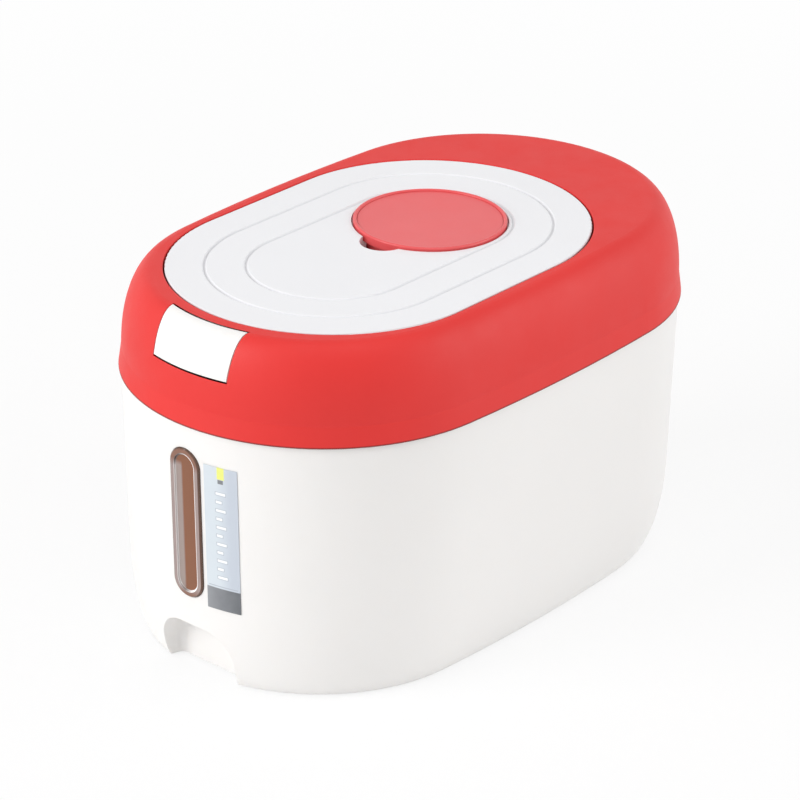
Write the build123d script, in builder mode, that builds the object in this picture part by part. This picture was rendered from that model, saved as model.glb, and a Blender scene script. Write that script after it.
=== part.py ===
from build123d import *
import os
from math import atan2, cos, degrees, radians, sin, sqrt, tan

# Rice storage bin: an oval tub, a collar over its neck, a flush lid on a hidden
# gooseneck hinge, a push button with its latch, and a cup stowed in the lid.
# Millimetres. +Z up, front towards -Y, origin on the floor under the middle of the collar.

# Plan outline: an oval of four tangent arcs, the collar's lower edge
half_length = 150.0
half_width = 94.0
side_radius = 945.0

# Heights
collar_base_z = 128.0
collar_height = 45.0
tub_base_z = 1.0

# Tub
tub_step = 1.2
front_lean = 0.029
rear_lean = 0.020
front_foot_round = 7.1
rear_foot_round = 12.4
foot_round_height = 39.0
foot_round_angle = 75.0
foot_round_steps = 5
foot_blend = 8.0
wall_low = 2.6
wall_high = 3.8
floor_thickness = 2.8
rim_width = 19.0
base_recess = 1.2
neck_height = 6.0

# Thumb scoop at the tub's front foot
scoop_half_width = 24.0
scoop_top = 27.7
scoop_shoulder = 18.0
scoop_depth = 19.0
scoop_draft = 14.0
scoop_round = 4.0
scoop_wall = 2.6

# Level window and its seal
window_width = 17.8
window_length = 74.8
window_middle_z = 79.4
window_skin = 2.3
window_flange = 3.6
window_flange_thickness = 1.6
window_proud = 0.8
window_bevel = 0.6
window_dish = 0.7
window_rim = 3.0
window_seal_thickness = 0.7

# Scale strip beside the window
strip_left = 11.0
strip_width = 16.5
strip_base_z = 41.0
strip_length = 71.5
strip_thickness = 0.25
strip_film = 0.1

# Foot pads
pad_radius = 7.0
pad_thickness = 2.2
pad_margin_side = 48.0
pad_margin_end = 46.0

# Collar
collar_wall = 1.9
plateau_thickness = 2.4
collar_lean = 0.142
collar_lean_height = 10.0
shoulder_width = 13.9
seat_gap = 0.25
fit_gap = 0.4
flange_thickness = 2.0
flange_reach = 8.0
plug_wall = 1.2
plug_depth = 3.6
rim_seal_thickness = 1.75
opening_wall = 2.0
ledge_drop = 13.6
ledge_thickness = 2.0
ledge_overlap = 3.0
bead_width = 1.4
plateau_edge_round = 0.5

# Lid: a stadium with straight sides
lid_side_margin = 19.2
lid_front_margin = 22.7
lid_rear_margin = 59.3
lid_gap = 0.5
lid_plate = 2.6
lid_edge_taper = 20.0
lid_edge_round = 0.6
lid_skirt_wall = 2.0
lid_skirt_inset = 2.4
liner_drop = 9.0
liner_plate = 2.0
groove_outer_inset = 18.0
groove_inner_inset = 36.6
groove_width = 2.0
groove_floor = 0.5
groove_depth = 0.8
lid_seal_inset = 13.3
lid_seal_width = 3.0
lid_seal_height = 2.4
lid_seal_groove = 0.8
lid_seal_gap = 0.3
screw_ring_offset = 6.0
front_screw_angles = (30.0, 150.0)
side_screw_step = 10.0
bracket_screw_offsets = (12.0, 33.0)
screw_radius = 1.3
screw_head_radius = 2.6
screw_head = 1.4
screw_length = 5.4
boss_radius = 3.2

# Cup, its cap and its well in the lid
cup_rim_radius = 35.6
cup_rim_proud = 1.5
cup_rim_width = 1.9
cup_rim_round = 0.8
cup_flange = 1.7
cup_seat_depth = 2.8
cup_mouth = 33.0
cup_foot = 26.0
cup_depth = 60.0
cup_wall = 1.7
cup_foot_round = 6.0
cap_drop = 0.8
cap_dish = 0.5
cap_plug = 4.5
cap_plug_wall = 1.5
well_gap = 0.9
well_wall = 1.8
recess_gap = 0.8
seat_ring_wall = 2.2
notch_radius = 10.8
notch_offset = 33.0
notch_depth = 10.0
notch_floor_round = 2.6

# Hinge under the rear of the collar
hinge_drop = 8.0
hinge_back = 14.3
pin_radius = 1.5
pin_clearance = 0.05
eye_radius = 4.4
arm_inner_x = 20.5
arm_width = 7.5
arm_thickness = 3.2
arm_clearance = 0.8
arm_slot_gap = 0.6
spoke_angle = 262.0
ear_thickness = 3.0
ear_gap = 0.4
spring_wire = 1.0
spring_coil_radius = 2.9
spring_turns = 14
bracket_thickness = 2.6
bracket_side_reach = 9.0
cover_wall = 1.8
cover_clearance = 0.7
cover_step_reach = 16.2
cover_tab = 10.0
cover_tab_reach = 4.0

# Push button and latch
button_half_width = 21.5
button_flare = 0.6
button_gap = 0.5
button_foot_gap = 0.8
button_skin = 3.0
button_lug = 2.4
button_lug_thickness = 1.6
button_drop = 19.2
button_reach = 23.5
press_angle = 30.0
press_travel = 3.5
stem_half_width = 9.4
stem_height = 7.0
stem_rise = 1.0
pad_contact_gap = 0.3
slider_thickness = 2.6
slider_half_width = 9.0
slider_lift = 0.4
slider_pad = 2.5
slider_pad_drop = 6.8
striker_wall = 2.1
striker_half_width = 5.0
barb_reach = 2.0
barb_height = 1.8
barb_slope = 1.2
catch_bar = 2.6
catch_gap = 0.4
latch_spring_radius = 2.6
latch_spring_wire = 0.8
latch_spring_turns = 8
latch_spring_drop = 3.8
latch_box_length = 25.0
latch_box_drop = 9.4
latch_tab = 9.0

# Worked out from the sizes above
top_z = collar_base_z + collar_height
end_radius = (2 * side_radius * half_width - half_length**2 - half_width**2) / (2 * (side_radius - half_length))
end_centre = half_length - end_radius
side_centre = side_radius - half_width
join_angle = degrees(atan2(end_centre, side_centre))
shoulder_inset = collar_lean * collar_lean_height + shoulder_width
shoulder_height = collar_height - collar_lean_height
neck_top_z = collar_base_z + neck_height
neck_inset = collar_wall + collar_lean * neck_height + fit_gap
cavity_floor_z = tub_base_z + base_recess + floor_thickness
flange_z = neck_top_z + seat_gap + rim_seal_thickness
lid_radius = half_width - lid_side_margin
lid_front_end = half_length - lid_front_margin
lid_rear_end = half_length - lid_rear_margin
lid_rear_centre = lid_rear_end - lid_radius
lid_front_centre = lid_radius - lid_front_end
lid_middle = (lid_rear_centre + lid_front_centre) / 2
lid_straight = lid_rear_centre - lid_front_centre
opening_radius = lid_radius + lid_gap
lid_skirt_radius = lid_radius - lid_skirt_inset
lid_seal_radius = lid_radius - lid_seal_inset
ledge_inner = lid_seal_radius - ledge_overlap
screw_ring = lid_seal_radius + screw_ring_offset
plateau_base_z = top_z - plateau_thickness
button_base_z = top_z - button_drop
ledge_top_z = top_z - ledge_drop
ledge_base_z = ledge_top_z - ledge_thickness
slider_pad_base_z = ledge_base_z - slider_pad_drop
liner_base_z = top_z - liner_drop
liner_top_z = liner_base_z + liner_plate
plate_base_z = top_z - lid_plate
cup_seat_z = top_z - cup_seat_depth
hinge_z = top_z - hinge_drop
hinge_y = lid_rear_end + hinge_back
arm_outer_x = arm_inner_x + arm_width
bracket_half_width = arm_outer_x + bracket_side_reach
cover_step = hinge_y - cover_step_reach
cover_tab_y = hinge_y - cover_tab_reach
pad_spread_x = half_width - pad_margin_side
pad_spread_y = half_length - pad_margin_end
notch_y = lid_rear_centre - notch_offset


def oval(inset, shift=0.0):
    """Oval of four tangent arcs, drawn in by inset and moved along Y by shift."""
    with BuildSketch() as outline:
        with BuildLine():
            for end, turn in ((1, 0), (-1, 180)):
                tip = (0, end * end_centre + shift)
                CenterArc(tip, end_radius - inset, turn + join_angle, 180 - 2 * join_angle)
                flank = (-end * side_centre, shift)
                CenterArc(flank, side_radius - inset, turn - join_angle, 2 * join_angle)
        make_face()
    return outline.sketch


def stadium(radius):
    """Straight-sided outline round the lid's two centres."""
    with BuildSketch() as outline:
        with Locations((0, lid_middle)):
            SlotCenterToCenter(lid_straight, 2 * radius, rotation=90)
    return outline.sketch


def plate(outline, z, thickness, hole=None):
    """Flat plate of an outline, less a hole's outline, from z upwards."""
    with BuildPart() as slab:
        with BuildSketch(Plane.XY.offset(z)):
            add(outline)
            if hole is not None:
                add(hole, mode=Mode.SUBTRACT)
        extrude(amount=thickness)
    return slab.part


def block(low, high):
    """Box between two corners."""
    size = [b - a for a, b in zip(low, high)]
    with BuildPart() as solid:
        with Locations(tuple((a + b) / 2 for a, b in zip(low, high))):
            Box(*size)
    return solid.part


# Tub: an oval shell with a foot, a neck, a window slot and a thumb scoop

def tub_loft(base_z, wall_at_base, wall_at_top, swell=0.0):
    """The tub's outside, drawn in by a wall that grows from its base to the collar."""
    wall_z = base_z + foot_round_height + foot_blend
    stations = [(wall_z, 0)]
    for step in range(foot_round_steps + 1):
        angle = foot_round_angle * step / foot_round_steps
        rise = foot_round_height * (1 - sin(radians(angle)) / sin(radians(foot_round_angle)))
        stations.append((base_z + rise, angle))

    def outline(z, angle):
        drop = collar_base_z - z
        rounding = 1 - cos(radians(angle))
        front = tub_step + front_lean * drop + front_foot_round * rounding
        rear = tub_step + rear_lean * drop + rear_foot_round * rounding
        wall = wall_at_base + (wall_at_top - wall_at_base) * (z - base_z) / (collar_base_z - base_z)
        return oval((front + rear) / 2 + wall - swell, (front - rear) / 2)

    with BuildPart() as body:
        for z, angle in reversed(stations):
            with BuildSketch(Plane.XY.offset(z)):
                add(outline(z, angle))
        loft()
        for z in (wall_z, collar_base_z):
            with BuildSketch(Plane.XY.offset(z)):
                add(outline(z, 0))
        loft(ruled=True)
    return body.part


def scoop_solid(grow):
    """Round-shouldered recess that narrows inwards from the front, grown by a wall."""
    shoulder_x = scoop_half_width - scoop_shoulder
    shoulder_z = tub_base_z + scoop_top - scoop_shoulder
    with BuildPart() as scoop:
        for depth in (0, scoop_depth + grow):
            bow = scoop_shoulder + grow - depth * tan(radians(scoop_draft))
            side = shoulder_x + bow
            front_plane = Plane(origin=(0, depth - half_length, shoulder_z), x_dir=(1, 0, 0), z_dir=(0, -1, 0))
            with BuildSketch(front_plane):
                with BuildLine():
                    CenterArc((shoulder_x, 0), bow, 0, 90)
                    CenterArc((-shoulder_x, 0), bow, 90, 90)
                    Line((shoulder_x, bow), (-shoulder_x, bow))
                    Polyline((-side, 0), (-side, -2 * shoulder_z), (side, -2 * shoulder_z), (side, 0))
                make_face()
        loft(ruled=True)
        back = scoop.faces().sort_by(Axis.Y)[-1]
        fillet(back.edges().sort_by(Axis.Z)[1:], scoop_round)
    return scoop.part


front_tilt = -degrees(atan2(front_lean, 1))
window_y = tub_step + front_lean * (collar_base_z - window_middle_z) - half_length
window_plane = Plane(
    origin=(0, window_y, window_middle_z),
    x_dir=(1, 0, 0),
    z_dir=(0, -cos(radians(front_tilt)), sin(radians(front_tilt))),
)


def window_solid(grow, near, far):
    """Round-ended upright slot, grown by a rim, between two depths behind the front wall."""
    with BuildPart() as slot:
        with BuildSketch(window_plane.offset(-far)):
            SlotOverall(window_length + 2 * grow, window_width + 2 * grow, rotation=90)
        extrude(amount=far - near)
    return slot.part


outside = tub_loft(tub_base_z, 0, 0)
cavity = tub_loft(cavity_floor_z, wall_low, wall_high)
base_front = tub_step + front_lean * (collar_base_z - tub_base_z) + front_foot_round

with BuildPart() as tub:
    add(outside)
    add(plate(oval(neck_inset), collar_base_z - neck_height, 2 * neck_height))
    add(cavity - scoop_solid(scoop_wall), mode=Mode.SUBTRACT)
    add(plate(oval(neck_inset + wall_high / 2), collar_base_z - 1, neck_height + 2), mode=Mode.SUBTRACT)
    add(plate(oval(base_front + rim_width), tub_base_z, base_recess), mode=Mode.SUBTRACT)
    add(scoop_solid(0), mode=Mode.SUBTRACT)
    add(window_solid(0, -window_skin, 2 * wall_high), mode=Mode.SUBTRACT)
    add(window_solid(window_flange + fit_gap / 2, window_skin, 4 * wall_high), mode=Mode.SUBTRACT)
    with Locations((0, 0, tub_base_z)):
        with GridLocations(2 * pad_spread_x, 2 * pad_spread_y, 2, 2):
            Cylinder(
                pad_radius + fit_gap / 2,
                2 * (pad_thickness - tub_base_z),
                mode=Mode.SUBTRACT,
            )
tub.part.label = "tub"

# Level window: a smoked lens with a bevelled face, a dished middle and a flange inside
with BuildPart() as level_window:
    add(window_solid(-fit_gap / 2, -window_proud, window_skin + window_seal_thickness))
    face_edges = level_window.faces().sort_by(Axis.Y)[0].edges()
    chamfer(face_edges, window_bevel)
    add(window_solid(window_flange, window_skin + window_seal_thickness,
                     window_skin + window_seal_thickness + window_flange_thickness))
    add(window_solid(-window_rim, -window_proud, window_dish - window_proud), mode=Mode.SUBTRACT)
level_window.part.label = "level_window"

with BuildPart() as window_seal:
    add(window_solid(window_flange, window_skin, window_skin + window_seal_thickness))
    add(window_solid(0, window_skin, window_skin + window_seal_thickness), mode=Mode.SUBTRACT)
window_seal.part.label = "window_seal"

# Scale strip: a thin label bent round the front wall
strip_box = block(
    (strip_left, -half_length - pad_radius, strip_base_z),
    (strip_left + strip_width, -end_centre, strip_base_z + strip_length),
)
strip_skin = tub_loft(tub_base_z, 0, 0, strip_film + strip_thickness) - tub_loft(tub_base_z, 0, 0, strip_film)
with BuildPart() as scale_strip:
    add(strip_skin & strip_box)
scale_strip.part.label = "scale_strip"

with BuildPart() as foot_pads:
    with Locations((0, 0, pad_thickness / 2)):
        with GridLocations(2 * pad_spread_x, 2 * pad_spread_y, 2, 2):
            Cylinder(pad_radius, pad_thickness)
    chamfer(foot_pads.edges().group_by(Axis.Z)[0], tub_base_z / 2)
foot_pads.part.label = "foot_pads"

# Collar: a swept skirt with an elliptical shoulder, a flat top and the lid's opening
collar_plane = Plane(origin=(0, -half_length, 0), x_dir=(0, 1, 0), z_dir=(1, 0, 0))


def shoulder_band(near, far, near_drop, far_drop, base_z):
    """Section of the collar between two depths, measured inwards and downwards."""
    bend_z = collar_base_z + collar_lean_height
    bend = collar_lean * collar_lean_height
    base = collar_lean * (base_z - collar_base_z)
    centre = (bend + shoulder_width, bend_z)
    with BuildSketch() as band:
        with BuildLine():
            Line((base + near, base_z), (bend + near, bend_z))
            EllipticalCenterArc(centre, shoulder_width - near, shoulder_height - near_drop, 90, arc_size=90)
            Line((shoulder_inset, top_z - near_drop), (shoulder_inset, top_z - far_drop))
            EllipticalCenterArc(centre, shoulder_width - far, shoulder_height - far_drop, 90, arc_size=90)
            Line((bend + far, bend_z), (base + far, base_z))
            Line((base + far, base_z), (base + near, base_z))
        make_face()
    return band.sketch


def collar_inset(z):
    """How far the collar's outside stands in from its lower edge at a height."""
    rise = z - collar_base_z - collar_lean_height
    return collar_lean * collar_lean_height + shoulder_width * (1 - sqrt(1 - (rise / shoulder_height) ** 2))


def front_y(inset, x):
    """Y of the front arc at a sideways distance."""
    return -end_centre - sqrt((end_radius - inset) ** 2 - x**2)


press_cos = cos(radians(press_angle))
press_sin = sin(radians(press_angle))
button_middle_z = (top_z + button_base_z) / 2
button_plane = Plane(
    origin=(0, -half_length, button_middle_z),
    x_dir=(1, 0, 0),
    z_dir=(0, -press_cos, press_sin),
)


def button_prism(half, crown_grow, foot_grow, near, far):
    """Prism along the press direction with the button's curved outline."""

    def rise(x, z, inset):
        return (front_y(inset, x) + half_length) * press_sin + (z - button_middle_z) * press_cos

    wide = half + button_flare
    crown = [(x, rise(x, top_z, shoulder_inset) + crown_grow) for x in (-wide, 0, wide)]
    foot = [(x, rise(x, button_base_z, collar_inset(button_base_z)) - foot_grow) for x in (half, 0, -half)]
    with BuildPart() as prism:
        with BuildSketch(button_plane.offset(-far)):
            with BuildLine():
                ThreePointArc(*crown)
                Line(crown[-1], foot[0])
                ThreePointArc(*foot)
                Line(foot[-1], crown[0])
            make_face()
        extrude(amount=far - near)
    return prism.part


def front_band(near, far):
    """Shell of the collar's shoulder between two depths, turned about the front arc's centre."""
    with BuildPart() as band:
        with BuildSketch(collar_plane):
            add(shoulder_band(near, far, near, far, collar_base_z + seat_gap))
        revolve(axis=Axis((0, -end_centre, 0), (0, 0, 1)), revolution_arc=360)
    return band.part


with BuildLine() as collar_path:
    CenterArc((0, -end_centre), end_radius, -90, 90 - join_angle)
    CenterArc((-side_centre, 0), side_radius, -join_angle, 2 * join_angle)
    CenterArc((0, end_centre), end_radius, join_angle, 180 - 2 * join_angle)
    CenterArc((side_centre, 0), side_radius, 180 - join_angle, 2 * join_angle)
    CenterArc((0, -end_centre), end_radius, 180 + join_angle, 90 - join_angle)

edge_y = lid_rear_centre + sqrt(opening_radius**2 - arm_outer_x**2)
neck_radius = sqrt((hinge_y - edge_y) ** 2 + hinge_drop**2) + arm_clearance
sweep_radius = neck_radius + arm_thickness
bead_height = liner_base_z + lid_seal_groove - lid_seal_height - lid_seal_gap - ledge_top_z
ear_places = [(-ear_thickness / 2, ear_thickness / 2)]
ear_places += [(arm_outer_x + ear_gap, arm_outer_x + ear_gap + ear_thickness)]
ear_places += [(-x1, -x0) for x0, x1 in ear_places[1:]]

# Latch, set out along Y from the lid's striker leg
striker_front = lid_front_centre - lid_skirt_radius
striker_back = striker_front + striker_wall
catch_front = striker_back + catch_gap
catch_back = catch_front + catch_bar
slide_travel = press_travel * press_cos
slider_window_front = striker_front - slide_travel - catch_gap
wall_front = lid_front_centre - opening_radius - opening_wall
slider_base_z = ledge_top_z + slider_lift
slider_top_z = slider_base_z + slider_thickness
pad_back = wall_front - slide_travel - catch_gap
pad_front = pad_back - slider_pad
spring_z = ledge_base_z - latch_spring_drop
latch_box_front = pad_front - catch_gap
latch_box_back = latch_box_front + latch_box_length
latch_box_base_z = ledge_base_z - latch_box_drop
latch_inner_half = stem_half_width + fit_gap
latch_screw_x = latch_inner_half + cover_wall + latch_tab / 2
latch_screw_y = latch_box_back - latch_tab
cover_screw_x = arm_outer_x + ear_gap + ear_thickness + cover_clearance + cover_wall + cover_tab / 2
cover_tab_z = plateau_base_z - screw_length - seat_gap - cover_wall
latch_tab_z = ledge_base_z - screw_length - seat_gap - cover_wall

with BuildPart() as collar:
    with BuildSketch(collar_plane):
        add(shoulder_band(0, collar_wall, 0, plateau_thickness, collar_base_z + seat_gap))
    sweep(path=collar_path.wires()[0])
    add(plate(oval(shoulder_inset), plateau_base_z, plateau_thickness))
    add(plate(stadium(opening_radius + opening_wall), ledge_base_z, plateau_base_z - ledge_base_z))
    add(plate(stadium(opening_radius), ledge_top_z, ledge_drop), mode=Mode.SUBTRACT)
    add(plate(stadium(ledge_inner), ledge_base_z, ledge_thickness), mode=Mode.SUBTRACT)
    add(plate(stadium(lid_seal_radius + bead_width / 2), ledge_top_z, bead_height,
              stadium(lid_seal_radius - bead_width / 2)))
    add(plate(oval(neck_inset - fit_gap / 2), flange_z, flange_thickness, oval(flange_reach)))
    plug_inset = neck_inset + wall_high / 2 + fit_gap
    add(plate(oval(plug_inset), flange_z - plug_depth, plug_depth, oval(plug_inset + plug_wall)))
    for x0, x1 in ear_places:
        add(block((x0, hinge_y - eye_radius, hinge_z), (x1, hinge_y + eye_radius, plateau_base_z)))
        with Locations(((x0 + x1) / 2, hinge_y, hinge_z)):
            Cylinder(eye_radius, x1 - x0, rotation=(0, 90, 0))
    with Locations((0, hinge_y, hinge_z)):
        Cylinder(pin_radius + pin_clearance, half_width, rotation=(0, 90, 0), mode=Mode.SUBTRACT)
    for side in (-1, 1):
        slot_x = sorted((side * (arm_inner_x - arm_slot_gap), side * (arm_outer_x + arm_slot_gap)))
        add(
            block(
                (slot_x[0], hinge_y - sweep_radius - cover_clearance, ledge_base_z),
                (slot_x[1], hinge_y - hinge_back + 2 * arm_slot_gap, plateau_base_z),
            ),
            mode=Mode.SUBTRACT,
        )
        with Locations((side * cover_screw_x, cover_tab_y, plateau_base_z - screw_length / 2)):
            Cylinder(boss_radius, screw_length)
            Cylinder(screw_radius + pin_clearance, screw_length, mode=Mode.SUBTRACT)
        with Locations((side * latch_screw_x, latch_screw_y, ledge_base_z - screw_length / 2)):
            Cylinder(boss_radius, screw_length)
            Cylinder(screw_radius + pin_clearance, screw_length, mode=Mode.SUBTRACT)
        rail_inner = slider_half_width + fit_gap
        rail_x = sorted((side * rail_inner, side * (rail_inner + opening_wall)))
        add(
            block(
                (rail_x[0], lid_front_centre - opening_radius - opening_wall / 2, ledge_top_z),
                (rail_x[1], catch_back, slider_top_z - fit_gap),
            )
        )
    # Way through the opening's wall for the slider, and through the ledge for the barb
    add(
        block(
            (-slider_half_width - fit_gap, wall_front - fit_gap, ledge_top_z),
            (slider_half_width + fit_gap, wall_front + 2 * opening_wall, slider_top_z + fit_gap),
        ),
        mode=Mode.SUBTRACT,
    )
    add(
        block(
            (-striker_half_width - fit_gap, striker_front - catch_gap, ledge_base_z),
            (striker_half_width + fit_gap, striker_back + barb_reach + catch_gap, ledge_top_z),
        ),
        mode=Mode.SUBTRACT,
    )
    aperture_half = button_half_width + button_gap
    add(
        button_prism(aperture_half, button_gap, button_foot_gap, -button_reach, button_reach),
        mode=Mode.SUBTRACT,
    )
    lip = collar.edges().filter_by_position(Axis.Z, top_z - seat_gap, top_z + seat_gap)
    lip = lip.filter_by(lambda edge: wall_front < edge.center().Y < hinge_y)
    lip = lip.filter_by(lambda edge: abs(edge.center().X) <= opening_radius)
    fillet(lip, plateau_edge_round)
collar.part.label = "collar"

with BuildPart() as rim_seal:
    add(plate(oval(neck_inset), flange_z - rim_seal_thickness, rim_seal_thickness,
              oval(neck_inset + wall_high / 2 - fit_gap)))
rim_seal.part.label = "rim_seal"

# Hinge: pin, pair of torsion springs and the gooseneck bracket
with BuildPart() as hinge_pin:
    with Locations((0, hinge_y, hinge_z)):
        Cylinder(pin_radius, 2 * (arm_outer_x + ear_gap + ear_thickness), rotation=(0, 90, 0))
    chamfer(hinge_pin.edges(), pin_radius / 4)
hinge_pin.part.label = "hinge_pin"


def coil_section(length, coil_radius, wire, turns):
    """Wavy section of a close-wound coil along X, one wave for each turn."""
    pitch = length / turns
    with BuildSketch() as section:
        with BuildLine():
            crests = [(0, coil_radius)]
            for turn in range(turns):
                crests.append(((turn + 0.5) * pitch, coil_radius + wire / 2))
                crests.append(((turn + 1) * pitch, coil_radius))
            Polyline(*crests)
            bore = coil_radius - wire / 2
            Polyline((0, coil_radius), (0, bore), (length, bore), crests[-1])
        make_face()
    return section.sketch


coil_start = ear_thickness / 2 + 2 * ear_gap
coil_length = arm_inner_x - 2 * ear_gap - coil_start
with BuildPart() as hinge_springs:
    for side in (-1, 1):
        start = coil_start if side > 0 else -coil_start - coil_length
        coil_plane = Plane(origin=(start, hinge_y, hinge_z), x_dir=(1, 0, 0), z_dir=(0, -1, 0))
        with BuildSketch(coil_plane):
            add(coil_section(coil_length, spring_coil_radius, spring_wire, spring_turns))
        revolve(axis=Axis((0, hinge_y, hinge_z), (1, 0, 0)), revolution_arc=360)
        leg_x = side * (coil_start + spring_wire / 2)
        leg_length = eye_radius * 2
        with Locations((leg_x, hinge_y + leg_length / 2, hinge_z + spring_coil_radius)):
            Cylinder(spring_wire / 2, leg_length, rotation=(90, 0, 0))
hinge_springs.part.label = "hinge_springs"


def arm_spot(radius, angle):
    """Point of the arm's plane at a radius and an angle about the hinge."""
    return (hinge_y + radius * cos(radians(angle)), hinge_z + radius * sin(radians(angle)))


def arm_profile():
    """Gooseneck arm seen along X: an eye, a spoke down and a band round the opening's edge."""
    root_angle = degrees(atan2(liner_base_z - bracket_thickness / 2 - hinge_z, -neck_radius)) % 360
    with BuildSketch() as arm:
        with BuildLine():
            CenterArc((hinge_y, hinge_z), sweep_radius, root_angle, spoke_angle - root_angle)
            Line(arm_spot(sweep_radius, spoke_angle), arm_spot(neck_radius, spoke_angle))
            CenterArc((hinge_y, hinge_z), neck_radius, spoke_angle, root_angle - spoke_angle)
            Line(arm_spot(neck_radius, root_angle), arm_spot(sweep_radius, root_angle))
        make_face()
        with Locations(arm_spot(sweep_radius / 2, spoke_angle)):
            Rectangle(sweep_radius, arm_thickness, rotation=spoke_angle)
        with Locations((hinge_y, hinge_z)):
            Circle(eye_radius)
            Circle(pin_radius + pin_clearance, mode=Mode.SUBTRACT)
    return arm.sketch


bracket_inner = lid_seal_radius + lid_seal_width / 2 + fit_gap
bracket_outer = lid_skirt_radius - fit_gap
bracket_z = liner_base_z - bracket_thickness
lid_screw_places = []
for angle in front_screw_angles:
    forward = screw_ring * sin(radians(angle))
    lid_screw_places.append((screw_ring * cos(radians(angle)), lid_front_centre - forward))
for side in (-1, 1):
    lid_screw_places.append((side * screw_ring, lid_front_centre + side_screw_step))
    lid_screw_places.append((side * screw_ring, lid_rear_centre))
bracket_screw_places = []
for side in (-1, 1):
    for x in bracket_screw_offsets:
        bracket_screw_places.append((side * x, lid_rear_centre + sqrt(screw_ring**2 - x**2)))

with BuildPart() as hinge_bracket:
    bracket_ring = plate(stadium(bracket_outer), bracket_z, bracket_thickness, stadium(bracket_inner))
    bracket_zone = block(
        (-bracket_half_width, lid_rear_centre, bracket_z),
        (bracket_half_width, hinge_y, liner_base_z),
    )
    add(bracket_ring & bracket_zone)
    for side in (-1, 1):
        with BuildSketch(Plane.YZ.offset(side * arm_inner_x)):
            add(arm_profile())
        extrude(amount=side * arm_width)
    with Locations(*[(x, y, bracket_z) for x, y in bracket_screw_places]):
        Cylinder(screw_radius + fit_gap / 2, 4 * bracket_thickness, mode=Mode.SUBTRACT)
hinge_bracket.part.label = "hinge_bracket"

# Cover of the hinge space: an open box with a step under the ledge
cover_half = arm_outer_x + ear_gap + ear_thickness + cover_clearance
cover_front = hinge_y - sweep_radius - cover_clearance
cover_back = hinge_y + 2 * eye_radius + cover_clearance
cover_base = hinge_z - sweep_radius - cover_clearance


def cover_side(wall):
    """Side outline of the hinge cover, grown by its wall."""
    with BuildSketch() as side_view:
        with BuildLine():
            Polyline(
                (cover_front - wall, cover_base - wall),
                (cover_back + wall, cover_base - wall),
                (cover_back + wall, plateau_base_z - seat_gap),
                (cover_step, plateau_base_z - seat_gap),
                (cover_step, ledge_base_z - seat_gap),
                (cover_front - wall, ledge_base_z - seat_gap),
                close=True,
            )
        make_face()
    return side_view.sketch


with BuildPart() as hinge_cover:
    with BuildSketch(Plane.YZ.offset(-cover_half - cover_wall)):
        add(cover_side(cover_wall))
    extrude(amount=2 * (cover_half + cover_wall))
    add(
        block(
            (-cover_half, cover_front, cover_base),
            (cover_half, cover_back, top_z),
        ),
        mode=Mode.SUBTRACT,
    )
    for side in (-1, 1):
        tab_x = sorted((side * (cover_half + cover_wall / 2), side * (cover_screw_x + cover_tab / 2)))
        add(
            block(
                (tab_x[0], cover_tab_y - cover_tab / 2, cover_tab_z),
                (tab_x[1], cover_tab_y + cover_tab / 2, cover_tab_z + cover_wall),
            )
        )
        with Locations((side * cover_screw_x, cover_tab_y, cover_tab_z)):
            Cylinder(screw_radius + fit_gap / 2, 4 * cover_wall, mode=Mode.SUBTRACT)
hinge_cover.part.label = "hinge_cover"

# Button: a flush piece of the shoulder with two lugs behind it and a stem
with BuildPart() as release_button:
    with BuildSketch(button_plane.offset(-(collar_inset(button_middle_z) + button_skin / 2) * press_cos)):
        with Locations((0, stem_rise)):
            Rectangle(2 * stem_half_width, stem_height)
    extrude(amount=-button_reach)
    add(
        block(
            (-half_width, pad_front - pad_contact_gap, 0),
            (half_width, 0, 2 * top_z),
        ),
        mode=Mode.SUBTRACT,
    )
    add(front_band(0, button_skin) & button_prism(button_half_width, 0, 0, -button_reach, button_reach))
    lug_depth = collar_wall + 2 * fit_gap
    lug_band = front_band(lug_depth, lug_depth + button_lug_thickness)
    lug_half = button_half_width + button_lug
    add(lug_band & button_prism(lug_half, -2 * button_lug, -2 * button_lug, -button_reach, button_reach))
release_button.part.label = "release_button"

with BuildPart() as latch_slider:
    add(block((-slider_half_width, pad_front, slider_base_z), (slider_half_width, catch_back, slider_top_z)))
    add(
        block(
            (-striker_half_width - fit_gap, slider_window_front, slider_base_z),
            (striker_half_width + fit_gap, catch_front, slider_top_z),
        ),
        mode=Mode.SUBTRACT,
    )
    add(block((-slider_half_width, pad_front, slider_pad_base_z), (slider_half_width, pad_back, slider_top_z)))
    fillet(latch_slider.edges().filter_by(Axis.Y).group_by(Axis.Z)[0], slider_pad / 2)
latch_slider.part.label = "latch_slider"

with BuildPart() as latch_spring:
    spring_length = latch_box_back - cover_wall - pad_back
    spring_plane = Plane(origin=(0, pad_back, spring_z), x_dir=(0, 1, 0), z_dir=(1, 0, 0))
    with BuildSketch(spring_plane):
        add(coil_section(spring_length, latch_spring_radius, latch_spring_wire, latch_spring_turns))
    revolve(axis=Axis((0, 0, spring_z), (0, 1, 0)), revolution_arc=360)
latch_spring.part.label = "latch_spring"

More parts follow.
